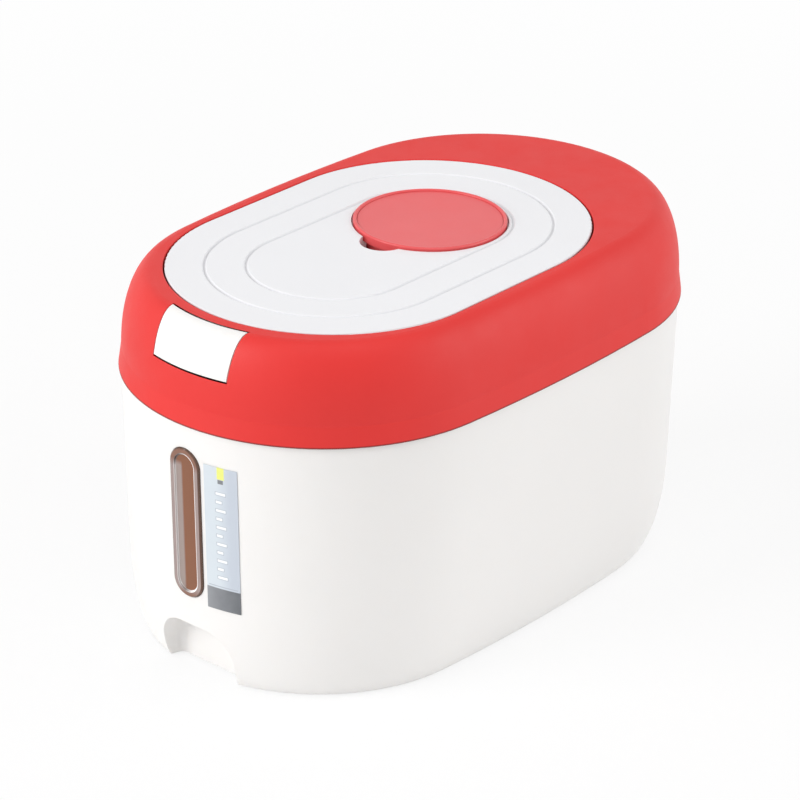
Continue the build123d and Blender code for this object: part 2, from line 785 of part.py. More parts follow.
with BuildPart() as latch_cover:
    box_outer = latch_inner_half + cover_wall
    add(
        block(
            (-box_outer, latch_box_front, latch_box_base_z),
            (box_outer, latch_box_back, ledge_base_z - seat_gap),
        )
    )
    add(
        block(
            (-latch_inner_half, latch_box_front - cover_wall, latch_box_base_z + cover_wall),
            (latch_inner_half, latch_box_back - cover_wall, ledge_base_z),
        ),
        mode=Mode.SUBTRACT,
    )
    for side in (-1, 1):
        tab_x = sorted((side * (box_outer - cover_wall / 2), side * (latch_screw_x + latch_tab / 2)))
        add(
            block(
                (tab_x[0], latch_screw_y - latch_tab / 2, latch_tab_z),
                (tab_x[1], latch_screw_y + latch_tab / 2, latch_tab_z + cover_wall),
            )
        )
        with Locations((side * latch_screw_x, latch_screw_y, latch_tab_z)):
            Cylinder(screw_radius + fit_gap / 2, 4 * cover_wall, mode=Mode.SUBTRACT)
latch_cover.part.label = "latch_cover"


def screw(x, y, seat_z):
    """Round-headed screw driven upwards from a seat."""
    with BuildPart() as fastener:
        with Locations((x, y, seat_z - screw_head / 2)):
            Cylinder(screw_head_radius, screw_head)
        with Locations((x, y, seat_z + screw_length / 2)):
            Cylinder(screw_radius, screw_length)
    return fastener.part


with BuildPart() as cover_screws:
    for side in (-1, 1):
        add(screw(side * cover_screw_x, cover_tab_y, cover_tab_z))
        add(screw(side * latch_screw_x, latch_screw_y, latch_tab_z))
cover_screws.part.label = "cover_screws"

# Lid: a grooved panel over a liner that carries the seal, the striker and the cup's well
seat_ring_radius = cup_rim_radius + recess_gap + seat_ring_wall


def notch_disc(grow):
    """Outline of the finger notch, grown by a wall."""
    with BuildSketch() as disc:
        with Locations((0, notch_y)):
            Circle(notch_radius + grow)
    return disc.sketch


def cup_disc(radius):
    """Round outline about the cup's axis."""
    with BuildSketch() as disc:
        with Locations((0, lid_rear_centre)):
            Circle(radius)
    return disc.sketch


def groove(radius):
    """Shallow groove round the lid, narrower at its floor."""
    with BuildPart() as cut:
        for z, width in ((top_z, groove_width), (top_z - groove_depth, groove_floor)):
            with BuildSketch(Plane.XY.offset(z)):
                add(stadium(radius + width / 2))
        loft(ruled=True)
        for z, width in ((top_z, groove_width), (top_z - groove_depth, groove_floor)):
            with BuildSketch(Plane.XY.offset(z)):
                add(stadium(radius - width / 2))
        loft(ruled=True, mode=Mode.SUBTRACT)
    return cut.part


with BuildPart() as lid_panel:
    with BuildSketch(Plane.XY.offset(top_z)):
        add(stadium(lid_radius))
    extrude(amount=-lid_plate, taper=lid_edge_taper)
    fillet(lid_panel.edges().group_by(Axis.Z)[-1], lid_edge_round)
    add(plate(stadium(lid_skirt_radius), liner_top_z, plate_base_z - liner_top_z,
              stadium(lid_skirt_radius - lid_skirt_wall)))
    add(plate(cup_disc(seat_ring_radius), liner_top_z, plate_base_z - liner_top_z))
    add(plate(notch_disc(well_wall), liner_top_z, plate_base_z - liner_top_z))
    for inset in (groove_outer_inset, groove_inner_inset):
        add(groove(lid_radius - inset), mode=Mode.SUBTRACT)
    add(plate(cup_disc(cup_rim_radius + recess_gap), cup_seat_z, cup_seat_depth), mode=Mode.SUBTRACT)
    add(plate(cup_disc(cup_mouth + well_gap), liner_top_z, lid_plate + liner_drop), mode=Mode.SUBTRACT)
    add(plate(notch_disc(0), liner_top_z, lid_plate + liner_drop), mode=Mode.SUBTRACT)
    for x, y in lid_screw_places + bracket_screw_places:
        with Locations((x, y, (liner_top_z + plate_base_z) / 2)):
            Cylinder(boss_radius, plate_base_z - liner_top_z)
            Cylinder(screw_radius + pin_clearance, plate_base_z - liner_top_z, mode=Mode.SUBTRACT)
lid_panel.part.label = "lid_panel"

cup_floor_z = cup_seat_z - cup_depth


def well_solid(grow, floor_z, top):
    """Tapered well round the cup, grown by a wall."""
    with BuildPart() as well:
        slope = (cup_mouth - cup_foot) / cup_depth
        with BuildSketch(Plane.XY.offset(floor_z)):
            add(cup_disc(cup_foot + slope * (floor_z - cup_floor_z) + grow))
        with BuildSketch(Plane.XY.offset(top)):
            add(cup_disc(cup_foot + slope * (top - cup_floor_z) + grow))
        loft(ruled=True)
    return well.part


well_floor_z = cup_floor_z - well_gap
notch_floor_z = top_z - notch_depth
with BuildPart() as notch_pocket:
    add(plate(notch_disc(0), notch_floor_z, liner_top_z - notch_floor_z))
    fillet(notch_pocket.edges().group_by(Axis.Z)[0], notch_floor_round)

with BuildPart() as lid_liner:
    add(plate(stadium(lid_skirt_radius), liner_base_z, liner_plate))
    add(well_solid(well_gap + well_wall, well_floor_z - well_wall, liner_base_z))
    add(plate(notch_disc(well_wall), notch_floor_z - well_wall, liner_base_z - notch_floor_z + well_wall))
    add(well_solid(well_gap, well_floor_z, liner_top_z), mode=Mode.SUBTRACT)
    add(notch_pocket.part, mode=Mode.SUBTRACT)
    add(plate(stadium(lid_seal_radius + lid_seal_width / 2), liner_base_z, lid_seal_groove,
              stadium(lid_seal_radius - lid_seal_width / 2)), mode=Mode.SUBTRACT)
    leg_top = liner_base_z + liner_plate / 2
    barb_top_z = slider_base_z - catch_gap
    add(block((-striker_half_width, striker_front, barb_top_z - barb_height),
              (striker_half_width, striker_back, leg_top)))
    add(block((-striker_half_width, striker_back - striker_wall / 2, barb_top_z - barb_height),
              (striker_half_width, striker_back + barb_reach, barb_top_z)))
    barb_low_edges = lid_liner.edges().filter_by(Axis.X).filter_by_position(
        Axis.Z, barb_top_z - barb_height - pin_clearance, barb_top_z - barb_height + pin_clearance)
    chamfer(barb_low_edges.sort_by(Axis.Y)[-1], barb_slope)
    for x, y in lid_screw_places + bracket_screw_places:
        with Locations((x, y, liner_base_z)):
            Cylinder(screw_radius + fit_gap / 2, 4 * liner_plate, mode=Mode.SUBTRACT)
lid_liner.part.label = "lid_liner"

with BuildPart() as lid_seal:
    add(plate(stadium(lid_seal_radius + lid_seal_width / 2 - pin_clearance),
              liner_base_z + lid_seal_groove - lid_seal_height, lid_seal_height,
              stadium(lid_seal_radius - lid_seal_width / 2 + pin_clearance)))
lid_seal.part.label = "lid_seal"

with BuildPart() as lid_screws:
    for x, y in lid_screw_places:
        add(screw(x, y, liner_base_z))
    for x, y in bracket_screw_places:
        add(screw(x, y, bracket_z))
lid_screws.part.label = "lid_screws"

# Measuring cup and the dished cap in its mouth
cup_plane = Plane(origin=(0, lid_rear_centre, 0), x_dir=(1, 0, 0), z_dir=(0, -1, 0))
cup_axis = Axis((0, lid_rear_centre, 0), (0, 0, 1))
rim_top_z = top_z + cup_rim_proud
rim_inner = cup_rim_radius - cup_rim_width
mouth_z = cup_seat_z + cup_flange
with BuildPart() as measuring_cup:
    with BuildSketch(cup_plane):
        with BuildLine():
            Polyline(
                (0, cup_floor_z),
                (cup_foot, cup_floor_z),
                (cup_mouth, cup_seat_z),
                (cup_rim_radius, cup_seat_z),
                (cup_rim_radius, rim_top_z),
                (rim_inner, rim_top_z),
                (rim_inner, mouth_z),
                (cup_mouth - cup_wall, mouth_z),
                (cup_foot - cup_wall, cup_floor_z + cup_wall),
                (0, cup_floor_z + cup_wall),
                close=True,
            )
        make_face()
        foot_corners = [(cup_foot, cup_floor_z, cup_foot_round),
                        (cup_foot - cup_wall, cup_floor_z + cup_wall, cup_foot_round - cup_wall)]
        for x, z, corner_round in foot_corners:
            fillet(vertices().sort_by_distance((x, z, 0))[0], corner_round)
    revolve(axis=cup_axis, revolution_arc=360)
    rim_edges = measuring_cup.edges().group_by(Axis.Z)[-1]
    fillet(rim_edges, cup_rim_round)
measuring_cup.part.label = "measuring_cup"

cap_radius = rim_inner - fit_gap / 2
cap_top_z = rim_top_z - cap_drop
with BuildPart() as cup_cap:
    with BuildSketch(cup_plane):
        with BuildLine():
            dish_middle = (cap_radius / 2, cap_top_z - cap_dish * 3 / 4)
            ThreePointArc((0, cap_top_z - cap_dish), dish_middle, (cap_radius, cap_top_z))
            Polyline(
                (cap_radius, cap_top_z),
                (cap_radius, mouth_z),
                (cup_mouth - cup_wall - fit_gap, mouth_z),
                (cup_mouth - cup_wall - 2 * fit_gap, mouth_z - cap_plug),
                (cup_mouth - cup_wall - 2 * fit_gap - cap_plug_wall, mouth_z - cap_plug),
                (cup_mouth - cup_wall - fit_gap - cap_plug_wall, mouth_z),
                (0, mouth_z - cap_dish),
                (0, cap_top_z - cap_dish),
            )
        make_face()
    revolve(axis=cup_axis, revolution_arc=360)
cup_cap.part.label = "cup_cap"

os.makedirs("parts", exist_ok=True)
for piece in (
    tub, level_window, window_seal, scale_strip, foot_pads, collar, rim_seal, hinge_pin, hinge_springs,
    hinge_bracket, hinge_cover, release_button, latch_slider, latch_spring, latch_cover, cover_screws,
    lid_panel, lid_liner, lid_seal, lid_screws, measuring_cup, cup_cap,
):
    export_step(piece.part, f"parts/{piece.part.label}.step")
    print(piece.part.label, round(piece.part.volume), "mm3")
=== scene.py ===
import bpy
import math
import numpy as np
from mathutils import Matrix, Vector


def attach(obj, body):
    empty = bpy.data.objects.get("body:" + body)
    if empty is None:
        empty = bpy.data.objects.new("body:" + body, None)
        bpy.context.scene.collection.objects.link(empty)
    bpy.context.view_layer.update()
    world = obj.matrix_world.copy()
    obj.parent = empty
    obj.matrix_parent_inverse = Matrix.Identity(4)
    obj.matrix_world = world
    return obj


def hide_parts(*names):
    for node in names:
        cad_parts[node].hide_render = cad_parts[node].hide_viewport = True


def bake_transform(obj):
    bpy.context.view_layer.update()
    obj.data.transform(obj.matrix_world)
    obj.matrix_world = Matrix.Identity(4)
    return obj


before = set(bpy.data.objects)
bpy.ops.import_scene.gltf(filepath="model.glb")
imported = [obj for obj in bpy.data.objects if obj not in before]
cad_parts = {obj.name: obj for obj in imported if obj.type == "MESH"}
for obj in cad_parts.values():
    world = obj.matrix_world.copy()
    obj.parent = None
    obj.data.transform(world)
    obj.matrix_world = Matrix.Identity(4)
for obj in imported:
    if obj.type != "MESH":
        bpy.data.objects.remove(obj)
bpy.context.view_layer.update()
print("stage: CAD nodes loaded", len(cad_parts))

# camera at the photograph's angle: lengths in metres, angles in degrees
cameraSet = {
    "around": 40.405, "above": 25.615, "roll": 0.81,
    "distance": 1.7274, "aside": -0.002905, "lower": -0.03685,
    "aimHeight": 0.128, "lens": 168.2, "sensor": 36, "near": 0.05, "far": 60,
}


def setCamera(s):
    # stands back along the view line, with its right and up turned by the roll
    around, above, roll = (math.radians(s[k]) for k in ("around", "above", "roll"))
    flat = math.cos(above)
    back = Vector((math.sin(around) * flat, -math.cos(around) * flat, math.sin(above)))
    level = Vector((math.cos(around), math.sin(around), 0))
    rise = back.cross(level)
    right = math.cos(roll) * level + math.sin(roll) * rise
    up = math.cos(roll) * rise - math.sin(roll) * level
    aim = Vector((0, 0, s["aimHeight"]))
    place = aim + back * s["distance"] + right * s["aside"] + up * s["lower"]
    data = bpy.data.cameras.new("viewCamera")
    data.lens = s["lens"]
    data.sensor_width = s["sensor"]
    data.clip_start = s["near"]
    data.clip_end = s["far"]
    camera = bpy.data.objects.new("viewCamera", data)
    turn = Matrix((right, up, back)).transposed().to_4x4()
    camera.matrix_world = Matrix.Translation(place) @ turn
    bpy.context.scene.collection.objects.link(camera)
    bpy.context.scene.camera = camera


setCamera(cameraSet)


def newMaterial(name):
    material = bpy.data.materials.new(name)
    material.use_nodes = True
    tree = material.node_tree
    return material, tree, tree.nodes["Principled BSDF"]


def addNode(tree, kind, **values):
    # a value goes to the node's own setting of that name, or else to its socket
    node = tree.nodes.new(kind)
    for key, value in values.items():
        if hasattr(node, key):
            setattr(node, key, value)
        else:
            node.inputs[key.replace("_", " ")].default_value = value
    return node


def maths(tree, operation, a, b=0.0):
    node = tree.nodes.new("ShaderNodeMath")
    node.operation = operation
    for slot, value in ((0, a), (1, b)):
        if isinstance(value, (int, float)):
            node.inputs[slot].default_value = value
        else:
            tree.links.new(value, node.inputs[slot])
    return node.outputs[0]


def times(tree, a, b):
    return maths(tree, "MULTIPLY", a, b)


def slope(tree, value, start, end, first=0.0, last=1.0):
    # goes from first to last in a straight line while the value goes from start to end, level outside
    node = addNode(tree, "ShaderNodeMapRange", From_Min=start, From_Max=end, To_Min=first, To_Max=last)
    tree.links.new(value, node.inputs["Value"])
    return node.outputs[0]


def noise(tree, coords, scale, detail=3.0, rough=0.5):
    node = addNode(tree, "ShaderNodeTexNoise", Scale=scale, Detail=detail, Roughness=rough)
    tree.links.new(coords, node.inputs["Vector"])
    return node.outputs["Fac"]


def ramp(tree, value, stops):
    node = tree.nodes.new("ShaderNodeValToRGB")
    for element, (place, colour) in zip(node.color_ramp.elements, stops):
        element.position = place
        element.color = (*colour, 1)
    tree.links.new(value, node.inputs["Fac"])
    return node.outputs["Color"]


def greyRamp(tree, value, places, levels):
    return ramp(tree, value, [(place, (level,) * 3) for place, level in zip(places, levels)])


def objectCoords(tree):
    return tree.nodes.new("ShaderNodeTexCoord").outputs["Object"]


def axisSockets(tree, coords):
    node = tree.nodes.new("ShaderNodeSeparateXYZ")
    tree.links.new(coords, node.inputs[0])
    return node.outputs["X"], node.outputs["Z"]


def band(tree, value, low, high, edge=0.00012):
    # one between low and high, with a soft edge: a rising slope less a later one
    return maths(tree, "SUBTRACT", slope(tree, value, low - edge, low + edge),
                 slope(tree, value, high - edge, high + edge))


def paint(tree, colour, mask, ink):
    # lays an ink, which is a plain colour or a socket, over a colour where the mask is one
    mix = tree.nodes.new("ShaderNodeMix")
    mix.data_type = "RGBA"
    tree.links.new(mask, mix.inputs["Factor"])
    tree.links.new(colour, mix.inputs["A"])
    if isinstance(ink, tuple):
        mix.inputs["B"].default_value = (*ink, 1)
    else:
        tree.links.new(ink, mix.inputs["B"])
    return mix.outputs["Result"]


def shaded(colour, share):
    return [min(1, c * share) for c in colour]


# what every moulding has alike: stops of its noises, depth of its grain, how light goes into it, and how
# strongly a band of painted shade covers its colour
mouldingSet = {
    "driftStops": (0.3, 0.7), "driftDetail": 2.0,
    "scuffStops": (0.35, 0.7), "scuffDetail": 8.0, "scuffRough": 0.65,
    "grainDetail": 2.0, "grainDeep": 0.0002, "ior": 1.47, "depthScale": 0.002,
    "lipShade": 0.85,
}


def mouldedPlastic(name, s, common):
    # base colour drifts a little, thin scuffs vary the gloss, a fine grain gives the satin, and some get a
    # band of painted shade by height
    material, tree, shader = newMaterial(name)
    coords = objectCoords(tree)
    drift = noise(tree, coords, s["driftScale"], common["driftDetail"])
    tones = [shaded(s["colour"], 1 - s["drift"]), shaded(s["colour"], 1 + s["drift"])]
    colour = ramp(tree, drift, list(zip(common["driftStops"], tones)))
    if "lip" in s:
        # painted shade: the base colour is darkened over a band of heights, such as the collar's lower lip
        # and the walls of the lid panel's grooves
        shade = band(tree, axisSockets(tree, coords)[1], *s["lip"])
        colour = paint(tree, colour, times(tree, shade, common["lipShade"]), s["lipColour"])
    tree.links.new(colour, shader.inputs["Base Color"])
    scuff = noise(tree, coords, s["scuffScale"], common["scuffDetail"], common["scuffRough"])
    tree.links.new(greyRamp(tree, scuff, common["scuffStops"], s["rough"]), shader.inputs["Roughness"])
    bump = addNode(tree, "ShaderNodeBump", Strength=s["grain"], Distance=common["grainDeep"])
    tree.links.new(noise(tree, coords, s["grainScale"], common["grainDetail"]), bump.inputs["Height"])
    tree.links.new(bump.outputs["Normal"], shader.inputs["Normal"])
    shader.inputs["IOR"].default_value = common["ior"]
    shader.inputs["Subsurface Weight"].default_value = s["depth"]
    shader.inputs["Subsurface Radius"].default_value = s["depthColour"]
    shader.inputs["Subsurface Scale"].default_value = common["depthScale"]
    return material


plasticSet = {
    "redInner": {
        "colour": (0.73, 0.024, 0.020), "drift": 0.03, "driftScale": 14, "scuffScale": 60,
        "rough": (0.50, 0.58), "grainScale": 2600, "grain": 0.18,
        "depth": 0.05, "depthColour": (1.0, 0.25, 0.2),
    },
    "redCup": {
        "colour": (0.77, 0.09, 0.095), "drift": 0.03, "driftScale": 20, "scuffScale": 70,
        "rough": (0.30, 0.36), "grainScale": 2800, "grain": 0.12,
        "depth": 0.05, "depthColour": (1.0, 0.25, 0.2),
    },
    "whiteShell": {
        "colour": (0.86, 0.845, 0.83), "drift": 0.012, "driftScale": 10, "scuffScale": 50,
        "rough": (0.30, 0.38), "grainScale": 2400, "grain": 0.10,
        "depth": 0.12, "depthColour": (1.0, 0.9, 0.8),
    },
    "whiteLid": {
        "colour": (0.85, 0.85, 0.87), "drift": 0.012, "driftScale": 14, "scuffScale": 60,
        "rough": (0.36, 0.44), "grainScale": 2600, "grain": 0.14,
        "depth": 0.10, "depthColour": (0.9, 0.95, 1.0),
    },
    "whiteInner": {
        "colour": (0.78, 0.78, 0.77), "drift": 0.02, "driftScale": 20, "scuffScale": 80,
        "rough": (0.42, 0.52), "grainScale": 2600, "grain": 0.2,
        "depth": 0.05, "depthColour": (1.0, 0.9, 0.8),
    },
    "silicone": {
        "colour": (0.80, 0.80, 0.78), "drift": 0.02, "driftScale": 30, "scuffScale": 90,
        "rough": (0.55, 0.68), "grainScale": 3200, "grain": 0.15,
        "depth": 0.25, "depthColour": (1.0, 0.95, 0.9),
    },
    "padRubber": {
        "colour": (0.55, 0.55, 0.55), "drift": 0.05, "driftScale": 60, "scuffScale": 120,
        "rough": (0.65, 0.8), "grainScale": 3000, "grain": 0.35,
        "depth": 0.0, "depthColour": (1.0, 1.0, 1.0),
    },
}
# heights of each band of painted shade from low to high, and half the depth of its soft edge:
# the collar is the same red with painted shade along its lower lip, and the lid's panel is the lid's white
# with painted shade on the walls of its two grooves and along its outer edge
plasticSet["redShell"] = dict(
    plasticSet["redInner"], lip=(0.12, 0.1288, 0.00025), lipColour=(0.10, 0.012, 0.010))
plasticSet["whitePanel"] = dict(
    plasticSet["whiteLid"], lip=(0.1716, 0.1726, 0.0004), lipColour=(0.74, 0.74, 0.76))
finish = {name: mouldedPlastic(name, s, mouldingSet) for name, s in plasticSet.items()}
print("stage: plastics made")

steelSet = {
    "colour": (0.60, 0.61, 0.63), "dull": 0.86, "dullScale": 120, "dullStops": (0.35, 0.65),
    "rough": (0.22, 0.36), "drawn": 900, "drawnDetail": 4.0, "drawnStops": (0.3, 0.7),
    "drawnStretch": (0.05, 1, 1),
}


def drawnSteel(s):
    # fine drawing marks lie along X, and dull patches drift over them
    material, tree, shader = newMaterial("drawnSteel")
    coords = objectCoords(tree)
    stretch = addNode(tree, "ShaderNodeMapping", Scale=s["drawnStretch"])
    tree.links.new(coords, stretch.inputs["Vector"])
    marks = noise(tree, stretch.outputs["Vector"], s["drawn"], s["drawnDetail"])
    tree.links.new(greyRamp(tree, marks, s["drawnStops"], s["rough"]), shader.inputs["Roughness"])
    tones = [shaded(s["colour"], s["dull"]), s["colour"]]
    patches = ramp(tree, noise(tree, coords, s["dullScale"]), list(zip(s["dullStops"], tones)))
    tree.links.new(patches, shader.inputs["Base Color"])
    shader.inputs["Metallic"].default_value = 1.0
    return material


finish["steel"] = drawnSteel(steelSet)

# window lens: heights and sideways places in metres, and distances from its upright middle line
lensSet = {
    "colour": (0.365, 0.130, 0.052), "tintScale": 25, "tintDetail": 2.0, "tintStops": (0.3, 0.7),
    "rough": (0.03, 0.10), "rubScale": 150, "rubDetail": 6.0, "rubRough": 0.7, "rubStops": (0.45, 0.75),
    "tint": 0.92, "clear": 0.40, "ior": 1.52,
    "paintedWallHighlight": (0.52, 0.43, 0.40), "wallLeft": -0.0060, "wallRight": -0.0019, "wallEdge": 0.0005,
    "wallFoot": 0.0455, "footEdge": 0.0015, "wallHead": 0.1085, "headEdge": 0.0012, "wallShare": 0.9,
    "middle": 0.0794, "half": 0.0285,
    "ridgeInner": 0.00530, "paintedRidgeHighlight": (1.0, 0.97, 0.96), "paintedRidgeShade": (0.17, 0.10, 0.08),
    "litFrom": -0.003, "litTo": 0.002, "litLeast": 0.1, "litMiddle": 0.7,
    "rimInner": 0.0062, "rimOuter": 0.0081, "paintedRimHighlight": (0.58, 0.48, 0.47), "rimShare": 0.65,
    "rimLeast": 0.15, "edgeColour": (0.12, 0.07, 0.05), "edgeReach": 0.02, "edgeShare": 0.8,
    "soft": 0.0002, "softHeight": 0.002, "farBelow": -1.0, "farAbove": 1.0,
}


def lensReach(tree, s, x, z):
    # distance from an upright line of the lens's straight length, as a round-ended slot has it
    rise = maths(tree, "ABSOLUTE", maths(tree, "SUBTRACT", z, s["middle"]))
    over = maths(tree, "MAXIMUM", maths(tree, "SUBTRACT", rise, s["half"]), 0.0)
    return maths(tree, "SQRT", maths(tree, "ADD", times(tree, x, x), times(tree, over, over)))


def smokedLens(s):
    # clear brown styrene, faintly rubbed, with painted highlights on its left inner wall and its rim,
    # and a thin ridge between them painted dark as shade, with a painted highlight mostly on its right
    material, tree, shader = newMaterial("smokedLens")
    coords = objectCoords(tree)
    marks = noise(tree, coords, s["rubScale"], s["rubDetail"], s["rubRough"])
    tree.links.new(greyRamp(tree, marks, s["rubStops"], s["rough"]), shader.inputs["Roughness"])
    tones = [shaded(s["colour"], s["tint"]), s["colour"]]
    tint = noise(tree, coords, s["tintScale"], s["tintDetail"])
    colour = ramp(tree, tint, list(zip(s["tintStops"], tones)))
    x, z = axisSockets(tree, coords)
    # painted highlight on the left inner wall, between its foot and its head
    aboveFoot = band(tree, z, s["wallFoot"], s["farAbove"], s["footEdge"])
    belowHead = band(tree, z, s["farBelow"], s["wallHead"], s["headEdge"])
    across = band(tree, x, s["wallLeft"], s["wallRight"], s["wallEdge"])
    wall = times(tree, across, times(tree, aboveFoot, belowHead))
    colour = paint(tree, colour, times(tree, wall, s["wallShare"]), s["paintedWallHighlight"])
    reach = lensReach(tree, s, x, z)
    # the ridge is first painted dark as painted shade
    ridge = band(tree, reach, s["ridgeInner"], s["rimInner"])
    colour = paint(tree, colour, ridge, s["paintedRidgeShade"])
    # painted highlight on the ridge: full on its right, and less so between the wall's foot and head on its
    # left
    middle = band(tree, z, s["wallFoot"], s["wallHead"], s["softHeight"])
    rightward = slope(tree, x, s["litFrom"], s["litTo"], s["litLeast"], 1.0)
    lit = times(tree, ridge, maths(tree, "MAXIMUM", rightward, times(tree, middle, s["litMiddle"])))
    colour = paint(tree, colour, lit, s["paintedRidgeHighlight"])
    # painted highlight on the rim, strongest between the wall's foot and head
    rim = band(tree, reach, s["rimInner"], s["rimOuter"], s["soft"])
    faded = maths(tree, "ADD", times(tree, middle, s["rimShare"]), s["rimLeast"])
    colour = paint(tree, colour, times(tree, rim, faded), s["paintedRimHighlight"])
    edge = band(tree, reach, s["rimOuter"], s["edgeReach"], s["soft"])
    colour = paint(tree, colour, times(tree, edge, s["edgeShare"]), s["edgeColour"])
    tree.links.new(colour, shader.inputs["Base Color"])
    shader.inputs["IOR"].default_value = s["ior"]
    # the lens lets less light through where the ridge's painted highlight lies
    solid = maths(tree, "SUBTRACT", 1.0, lit)
    tree.links.new(times(tree, solid, s["clear"]), shader.inputs["Transmission Weight"])
    return material


finish["lens"] = smokedLens(lensSet)

# scale strip: left, right, foot and head of each printed patch, in metres
stripSet = {
    "ground": ((0.64, 0.70, 0.75), (0.535, 0.585, 0.66)), "groundShadeReach": (0.0170, 0.0240),
    "block": ((0.28, 0.29, 0.31), (0.125, 0.135, 0.15)), "blockShadeReach": (0.0110, 0.0275),
    "markDark": (0.20, 0.21, 0.225), "ink": (0.90, 0.92, 0.95), "shade": (0.42, 0.46, 0.52),
    "yellow": (0.82, 0.84, 0.20), "cloudScale": 150, "cloudDetail": 2.0, "cloudShare": 0.5,
    "footBlock": (0.0100, 0.0285, 0.0400, 0.0520), "rule": (0.0120, 0.0265, 0.0528, 0.0532),
    "yellowMark": (0.0178, 0.0213, 0.1068, 0.1135), "darkMark": (0.0181, 0.0208, 0.1046, 0.1066),
    "tickLeft": 0.0169, "tickWide": (0.0048, 0.0030), "tickHigh": 0.0013, "tickShade": 0.0003,
    "tickFoot": 0.0570, "tickPitch": 0.0042, "tickCount": 11,
    "rough": (0.28, 0.4), "rubScale": 200, "rubDetail": 5.0, "rubStops": (0.4, 0.7), "coat": 0.3,
}


def printedStrip(s):
    # pale film with a grey block at its foot, a rule over it, ticks up its middle and two marks at its head
    material, tree, shader = newMaterial("printedStrip")
    coords = objectCoords(tree)
    x, z = axisSockets(tree, coords)
    cloud = maths(tree, "SUBTRACT", noise(tree, coords, s["cloudScale"], s["cloudDetail"]), 0.5)
    uneven = times(tree, cloud, s["cloudShare"])

    def patch(left, right, foot, head, grow=0.0):
        across = band(tree, x, left - grow, right + grow)
        return times(tree, across, band(tree, z, foot - grow, head + grow))

    def tone(colours, reach):
        # passes from one colour to the other over the reach along X, a little unevenly; the second colour is
        # darker, as painted shade
        share = maths(tree, "ADD", slope(tree, x, *reach), uneven)
        return ramp(tree, share, list(zip((0.0, 1.0), colours)))

    # the film's ground and its grey block darken towards the right: painted shade
    colour = tone(s["ground"], s["groundShadeReach"])
    colour = paint(tree, colour, patch(*s["footBlock"]), tone(s["block"], s["blockShadeReach"]))
    colour = paint(tree, colour, patch(*s["rule"]), s["shade"])
    colour = paint(tree, colour, patch(*s["yellowMark"]), s["yellow"])
    colour = paint(tree, colour, patch(*s["darkMark"]), s["markDark"])
    for step in range(s["tickCount"]):
        foot = s["tickFoot"] + s["tickPitch"] * step
        tick = (s["tickLeft"], s["tickLeft"] + s["tickWide"][step % 2], foot, foot + s["tickHigh"])
        colour = paint(tree, colour, patch(*tick, s["tickShade"]), s["shade"])
        colour = paint(tree, colour, patch(*tick), s["ink"])
    tree.links.new(colour, shader.inputs["Base Color"])
    rub = noise(tree, coords, s["rubScale"], s["rubDetail"])
    tree.links.new(greyRamp(tree, rub, s["rubStops"], s["rough"]), shader.inputs["Roughness"])
    shader.inputs["Coat Weight"].default_value = s["coat"]
    return material


finish["strip"] = printedStrip(stripSet)

nodeFinish = {
    "tub": "whiteShell", "release_button": "whiteShell",
    "lid_panel": "whitePanel", "lid_liner": "whiteLid", "hinge_bracket": "whiteLid",
    "collar": "redShell", "hinge_cover": "redInner", "measuring_cup": "redCup", "cup_cap": "redCup",
    "latch_slider": "whiteInner", "latch_cover": "whiteInner",
    "window_seal": "silicone", "rim_seal": "silicone", "lid_seal": "silicone", "foot_pads": "padRubber",
    "level_window": "lens", "scale_strip": "strip",
    "hinge_pin": "steel", "hinge_springs": "steel", "latch_spring": "steel",
    "lid_screws": "steel", "cover_screws": "steel",
}
for node, name in nodeFinish.items():
    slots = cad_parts[node].data.materials
    slots.clear()
    slots.append(finish[name])
print("stage: finishes on", len(nodeFinish), "nodes")


def gridPiece(name, points, material):
    # points is a rows x columns x 3 array: faces join neighbouring rows, the last column joins the first,
    # and a flat face closes each end ring
    rows, columns = points.shape[:2]
    row, column = np.meshgrid(np.arange(rows - 1), np.arange(columns), indexing="ij")
    beside = (column + 1) % columns
    corners = [row * columns + column, row * columns + beside]
    corners += [(row + 1) * columns + beside, (row + 1) * columns + column]
    faces = np.stack(corners, axis=-1).reshape(-1, 4).tolist()
    faces += [list(range(columns))[::-1], [(rows - 1) * columns + k for k in range(columns)]]
    mesh = bpy.data.meshes.new(name)
    mesh.from_pydata(points.reshape(-1, 3).tolist(), [], faces)
    mesh.materials.append(material)
    mesh.shade_smooth()
    piece = bpy.data.objects.new(name, mesh)
    bpy.context.scene.collection.objects.link(piece)
    return piece


def joined(name, pieces):
    # one object from several, with their meshes side by side
    with bpy.context.temp_override(active_object=pieces[0], selected_editable_objects=pieces):
        bpy.ops.object.join()
    pieces[0].name = name
    pieces[0].data.name = name
    return pieces[0]


def standIn(node):
    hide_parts(node)


wireSet = {"sides": 14, "endRings": 5, "endStart": 0.96}


def unit(vectors):
    return vectors / np.linalg.norm(vectors, axis=1, keepdims=True)


def wireTube(name, path, outwards, radius, s):
    # a circle carried along the path: each ring stands square to the path, turned by the outward direction
    along = unit(np.gradient(path, axis=0))
    outwards = unit(outwards - (outwards * along).sum(1, keepdims=True) * along)
    across = np.cross(along, outwards)
    turn = np.linspace(0, 2 * math.pi, s["sides"], endpoint=False)
    # the first and last rings shrink as a quarter circle, which rounds the cut ends
    swell = np.ones(len(path))
    taper = np.sqrt(1 - np.linspace(s["endStart"], 0, s["endRings"]) ** 2)
    swell[:s["endRings"]] = taper
    swell[-s["endRings"]:] = taper[::-1]
    ring = np.cos(turn)[None, :, None] * outwards[:, None, :]
    ring = ring + np.sin(turn)[None, :, None] * across[:, None, :]
    points = path[:, None, :] + radius * swell[:, None, None] * ring
    return gridPiece(name, points, finish["steel"])


hingeSpringSet = {
    "axisY": 0.105, "axisZ": 0.165, "start": 0.0023, "end": 0.0197, "coil": 0.0029, "wire": 0.0005,
    "turns": 14, "firstTurn": 0.25, "leg": 0.0088, "legSteps": 23, "turnSteps": 40,
}


